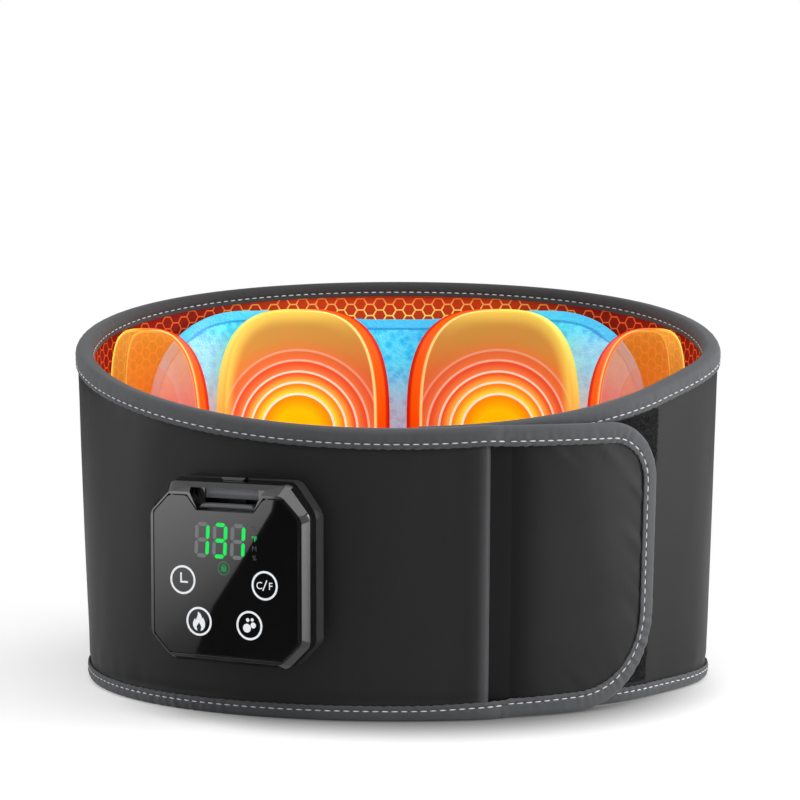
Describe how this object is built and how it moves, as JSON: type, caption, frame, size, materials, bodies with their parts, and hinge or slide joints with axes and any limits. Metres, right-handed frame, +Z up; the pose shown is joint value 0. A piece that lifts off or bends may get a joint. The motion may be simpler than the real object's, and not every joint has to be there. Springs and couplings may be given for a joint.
{
  "type": "hot and cold therapy waist belt",
  "caption": "Padded waist belt with heat and vibration pads, a lift-out cold gel pack, a hook and loop closure and a clip-on touch control pod.",
  "frame": {"origin": "centre of the bounding box at the floor, under the closed belt", "axes": "+X to the right as seen from the front, +Y from the closure to the back, +Z up along the wall"},
  "size_m": [0.3266, 0.2674, 0.2],
  "materials": {
    "neoprene": "matte black neoprene with a soft sheen",
    "binding_cloth": "dark grey folded tape with pale stitches",
    "foam": "open foam",
    "lining_cloth": "red lining printed with a honeycomb net",
    "fastener_cloth": "black hook and loop tape",
    "pad_silicone": "warm translucent silicone",
    "film_copper": "printed film",
    "steel": "plain",
    "gel": "icy blue gel in a clear pouch",
    "pod_plastic": "piano black",
    "dock_plastic": "fine texture",
    "panel_glass": "back-printed touch panel",
    "board": "solder mask",
    "cell_foil": "foil pouch",
    "gold": "plated contacts"
  },
  "bodies": {
    "belt": {"outer_cover": "neoprene", "core_foam_upper": "foam", "core_foam_lower": "foam", "inner_lining": "lining_cloth", "top_binding": "binding_cloth", "bottom_binding": "binding_cloth", "tail_end_binding": "binding_cloth", "seam_roll": "neoprene", "loop_strip": "fastener_cloth", "pad_shell_outer_left": "pad_silicone", "heat_film_outer_left": "film_copper", "motor_can_outer_left": "steel", "pad_shell_inner_left": "pad_silicone", "heat_film_inner_left": "film_copper", "motor_can_inner_left": "steel", "pad_shell_inner_right": "pad_silicone", "heat_film_inner_right": "film_copper", "motor_can_inner_right": "steel", "pad_shell_outer_right": "pad_silicone", "heat_film_outer_right": "film_copper", "motor_can_outer_right": "steel", "harness_ribbon": "film_copper", "dock_saddle": "dock_plastic", "dock_contacts": "gold"},
    "flap": {"flap_panel": "neoprene", "flap_binding": "binding_cloth", "hook_patch": "fastener_cloth"},
    "cold_pack": {"cold_pack": "gel"},
    "pod": {"back_housing": "pod_plastic", "front_bezel": "pod_plastic", "glass_panel": "panel_glass", "display_module": "board", "control_board": "board", "battery_cell": "cell_foil", "charge_socket": "steel", "pod_contacts": "gold", "release_spring": "steel", "touch_spring_1": "steel", "touch_spring_2": "steel", "touch_spring_3": "steel", "touch_spring_4": "steel", "housing_screw_1": "steel", "housing_screw_2": "steel", "housing_screw_3": "steel", "housing_screw_4": "steel"},
    "release": {"release_bar": "pod_plastic"},
    "weight_outer_left": {"motor_weight_outer_left": "steel"},
    "weight_inner_left": {"motor_weight_inner_left": "steel"},
    "weight_inner_right": {"motor_weight_inner_right": "steel"},
    "weight_outer_right": {"motor_weight_outer_right": "steel"}
  },
  "joints": [
    {"name": "flap_peel", "type": "hinge", "parent": "belt", "child": "flap", "pos_m": [0.05112, -0.09894, 0], "axis": [-0.0071, 0.0291, -0.9996], "range_deg": [0, 85]},
    {"name": "pod_lift", "type": "slide", "parent": "belt", "child": "pod", "axis": [-0.4226, -0.9063, 0], "range_m": [0, 0.04]},
    {"name": "release_press", "type": "slide", "parent": "pod", "child": "release", "axis": [0, 0, -1], "range_m": [0, 0.002], "stiffness_N_per_m": 500, "springref_m": -0.001, "deforming": ["release_spring"]},
    {"name": "cold_pack_lift", "type": "slide", "parent": "belt", "child": "cold_pack", "axis": [0, 0, 1], "range_m": [0, 0.135]},
    {"name": "motor_spin_outer_left", "type": "hinge", "parent": "belt", "child": "weight_outer_left", "pos_m": [-0.13362, 0.04498, 0.1065], "axis": [-0.9003, 0.4352, 0], "continuous": true},
    {"name": "motor_spin_inner_left", "type": "hinge", "parent": "belt", "child": "weight_inner_left", "pos_m": [-0.05771, 0.10322, 0.1175], "axis": [-0.2887, 0.9574, 0], "continuous": true},
    {"name": "motor_spin_inner_right", "type": "hinge", "parent": "belt", "child": "weight_inner_right", "pos_m": [0.05785, 0.10322, 0.1175], "axis": [0.2887, 0.9574, 0], "continuous": true},
    {"name": "motor_spin_outer_right", "type": "hinge", "parent": "belt", "child": "weight_outer_right", "pos_m": [0.13376, 0.04498, 0.1065], "axis": [0.9003, 0.4352, 0], "continuous": true}
  ]
}
